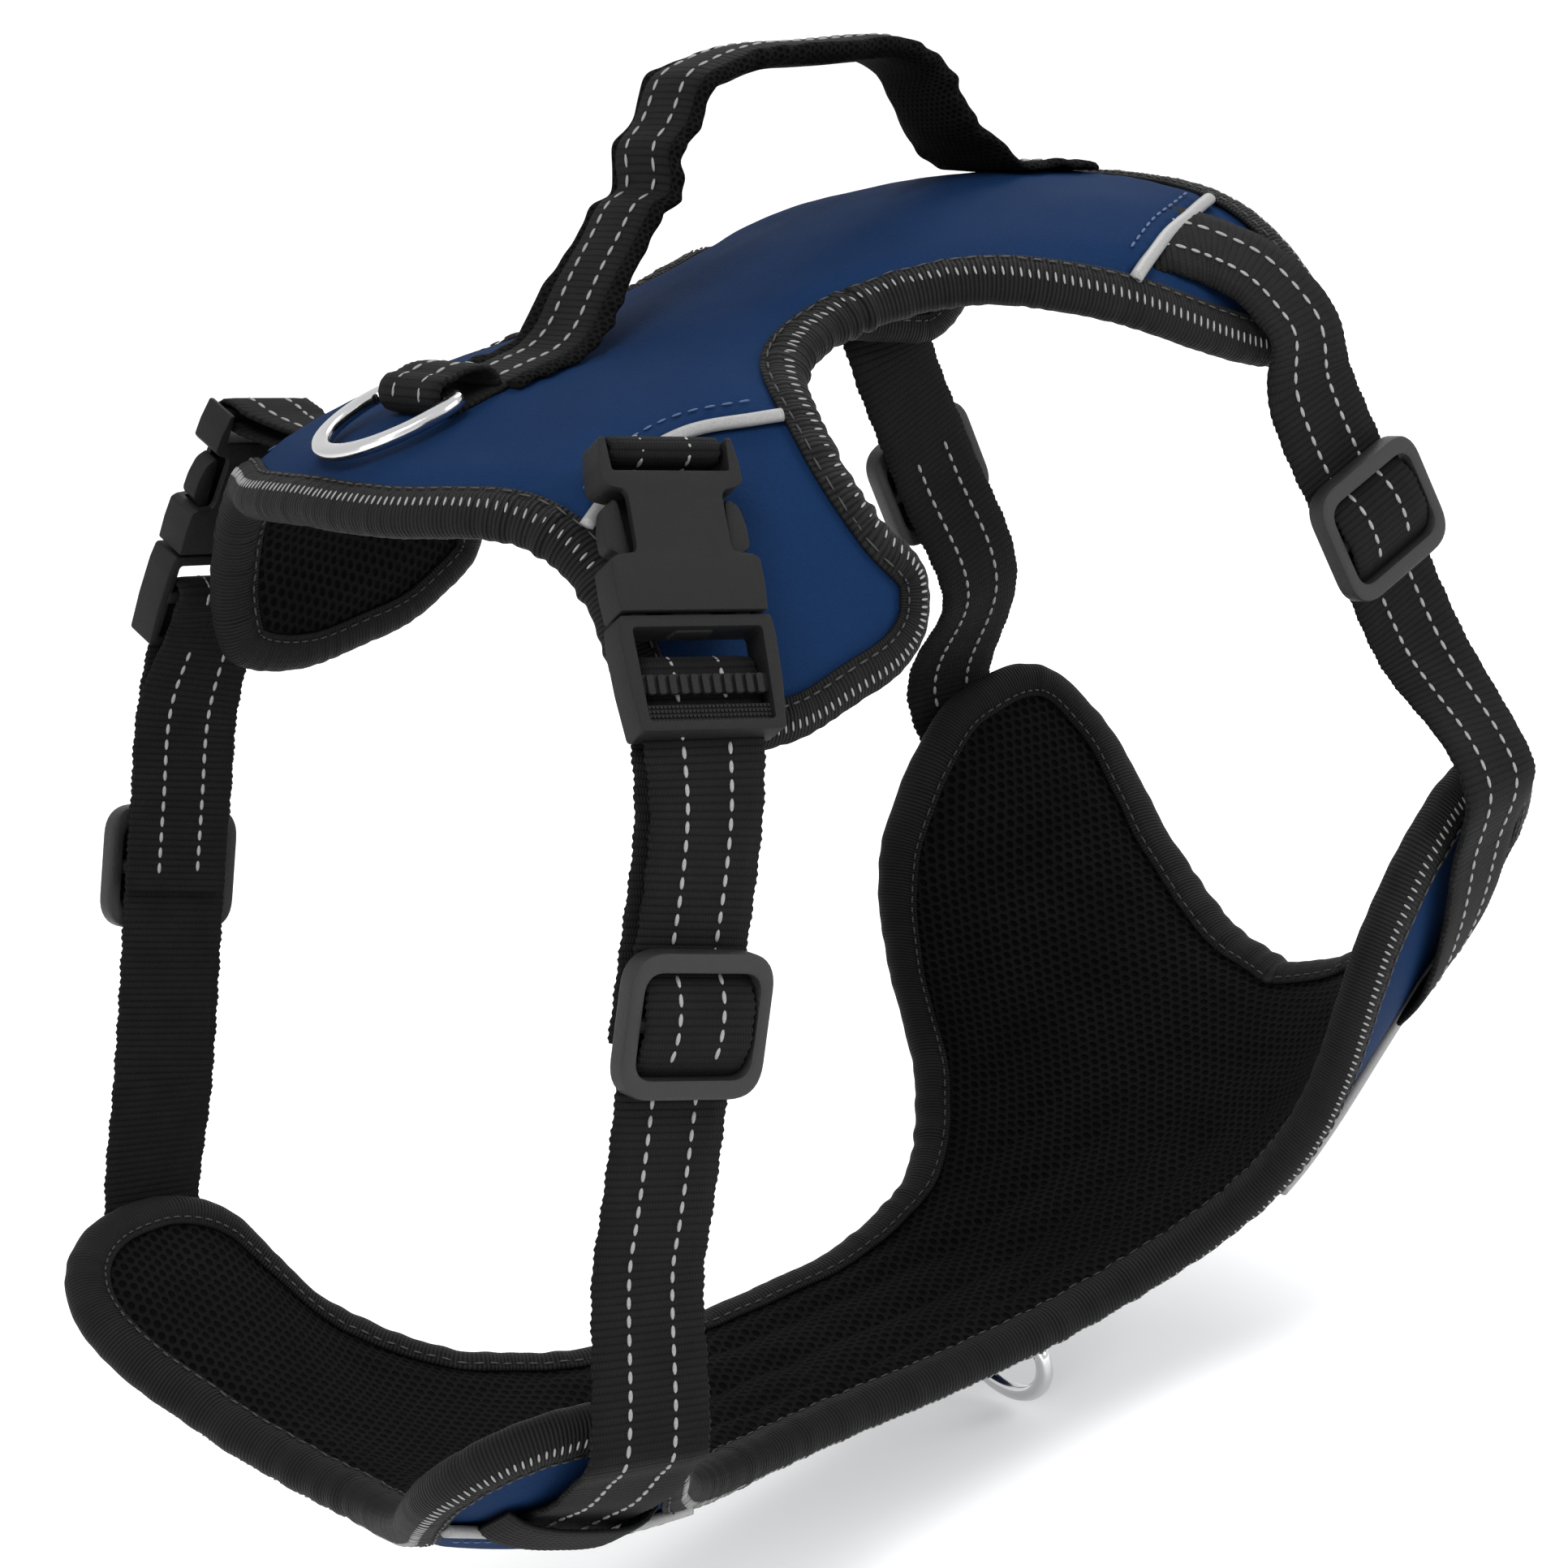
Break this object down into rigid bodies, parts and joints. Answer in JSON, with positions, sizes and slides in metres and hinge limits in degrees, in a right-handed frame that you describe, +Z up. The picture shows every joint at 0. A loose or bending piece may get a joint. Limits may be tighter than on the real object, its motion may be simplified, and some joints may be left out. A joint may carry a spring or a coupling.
{
  "type": "no pull dog harness",
  "caption": "Padded dog harness: an arched back panel with a grab handle and leash ring, joined by adjustable webbing and side-release buckles to a bowl-shaped chest plate.",
  "frame": {"origin": "where the back panel's padding rests on the dog's spine", "axes": "+X towards the dog's head, +Y to the dog's left, +Z up"},
  "size_m": [0.3097, 0.208, 0.3158],
  "materials": {
    "softshell": "matte woven softshell",
    "air_mesh": "3-D spacer mesh",
    "foam": "open-cell foam",
    "binding_tape": "ribbed grosgrain",
    "webbing": "ribbed nylon webbing with reflective stitches",
    "reflective_piping": "satin reflective tape",
    "elastic": "woven elastic",
    "black_plastic": "fine matte moulding",
    "ring_metal": "polished"
  },
  "bodies": {
    "harness": {"back_binding": "binding_tape", "back_cover": "softshell", "back_foam": "foam", "back_lining": "air_mesh", "back_neck_piping_left": "reflective_piping", "back_neck_piping_right": "reflective_piping", "back_shell": "softshell", "back_wing_piping_left": "reflective_piping", "back_wing_piping_right": "reflective_piping", "buckle_loop_left": "webbing", "buckle_loop_right": "webbing", "buckle_socket_left": "black_plastic", "buckle_socket_right": "black_plastic", "chest_binding": "binding_tape", "chest_cover": "softshell", "chest_foam": "foam", "chest_lining": "air_mesh", "chest_neck_piping_left": "reflective_piping", "chest_neck_piping_right": "reflective_piping", "chest_rear_piping_left": "reflective_piping", "chest_rear_piping_right": "reflective_piping", "chest_ring_loop": "webbing", "chest_shell": "softshell", "girth_lower_left": "webbing", "girth_lower_right": "webbing", "handle_padding": "air_mesh", "handle_webbing": "webbing", "keeper_left": "elastic", "keeper_right": "elastic", "leash_loop": "webbing", "neck_strap_left": "webbing", "neck_strap_right": "webbing"},
    "leash_ring": {"leash_ring": "ring_metal"},
    "chest_ring": {"chest_ring": "ring_metal"},
    "girth_plug_left": {"buckle_plug_left": "black_plastic", "girth_strap_left": "webbing", "girth_return_left": "webbing"},
    "prong_front_left": {"buckle_prong_front_left": "black_plastic"},
    "prong_rear_left": {"buckle_prong_rear_left": "black_plastic"},
    "girth_slider_left": {"girth_slider_left": "black_plastic", "girth_slider_wrap_left": "webbing"},
    "neck_slider_left": {"neck_slider_left": "black_plastic", "neck_slider_wrap_left": "webbing"},
    "girth_plug_right": {"buckle_plug_right": "black_plastic", "girth_strap_right": "webbing", "girth_return_right": "webbing"},
    "prong_front_right": {"buckle_prong_front_right": "black_plastic"},
    "prong_rear_right": {"buckle_prong_rear_right": "black_plastic"},
    "girth_slider_right": {"girth_slider_right": "black_plastic", "girth_slider_wrap_right": "webbing"},
    "neck_slider_right": {"neck_slider_right": "black_plastic", "neck_slider_wrap_right": "webbing"}
  },
  "joints": [
    {"name": "leash_ring_swing", "type": "hinge", "parent": "harness", "child": "leash_ring", "pos_m": [-0.076, 0, 0.0048], "axis": [0, 1, 0], "range_deg": [0, 140]},
    {"name": "chest_ring_swing", "type": "hinge", "parent": "harness", "child": "chest_ring", "pos_m": [0.006, 0, -0.25], "axis": [0, 1, 0], "range_deg": [-70, 70]},
    {"name": "buckle_release_left", "type": "slide", "parent": "harness", "child": "girth_plug_left", "axis": [-0.3638, 0.4366, -0.8228], "range_m": [0, 0.038], "deforming": ["girth_lower_left"]},
    {"name": "prong_squeeze_rear_left", "type": "hinge", "parent": "girth_plug_left", "child": "prong_rear_left", "pos_m": [-0.09476, 0.08529, -0.02799], "axis": [-0.0039, 0.8826, 0.4701], "range_deg": [0, 8], "stiffness_Nm_per_rad": 0.5},
    {"name": "prong_squeeze_front_left", "type": "hinge", "parent": "girth_plug_left", "child": "prong_front_left", "pos_m": [-0.07483, 0.08902, -0.03483], "axis": [0.0039, -0.8826, -0.4701], "range_deg": [0, 8], "stiffness_Nm_per_rad": 0.5},
    {"name": "girth_adjust_left", "type": "slide", "parent": "girth_plug_left", "child": "girth_slider_left", "axis": [-0.4025, -0.0478, -0.9142], "range_m": [-0.01, 0.015]},
    {"name": "neck_adjust_left", "type": "slide", "parent": "harness", "child": "neck_slider_left", "axis": [0.2123, 0.0629, -0.9752], "range_m": [-0.01, 0.015]},
    {"name": "buckle_release_right", "type": "slide", "parent": "harness", "child": "girth_plug_right", "axis": [-0.3638, -0.4366, -0.8228], "range_m": [0, 0.038], "deforming": ["girth_lower_right"]},
    {"name": "prong_squeeze_rear_right", "type": "hinge", "parent": "girth_plug_right", "child": "prong_rear_right", "pos_m": [-0.09476, -0.08529, -0.02799], "axis": [0.0039, 0.8826, -0.4701], "range_deg": [0, 8], "stiffness_Nm_per_rad": 0.5},
    {"name": "prong_squeeze_front_right", "type": "hinge", "parent": "girth_plug_right", "child": "prong_front_right", "pos_m": [-0.07483, -0.08902, -0.03483], "axis": [-0.0039, -0.8826, 0.4701], "range_deg": [0, 8], "stiffness_Nm_per_rad": 0.5},
    {"name": "girth_adjust_right", "type": "slide", "parent": "girth_plug_right", "child": "girth_slider_right", "axis": [-0.4025, 0.0478, -0.9142], "range_m": [-0.01, 0.015]},
    {"name": "neck_adjust_right", "type": "slide", "parent": "harness", "child": "neck_slider_right", "axis": [0.2123, -0.0629, -0.9752], "range_m": [-0.01, 0.015]}
  ]
}
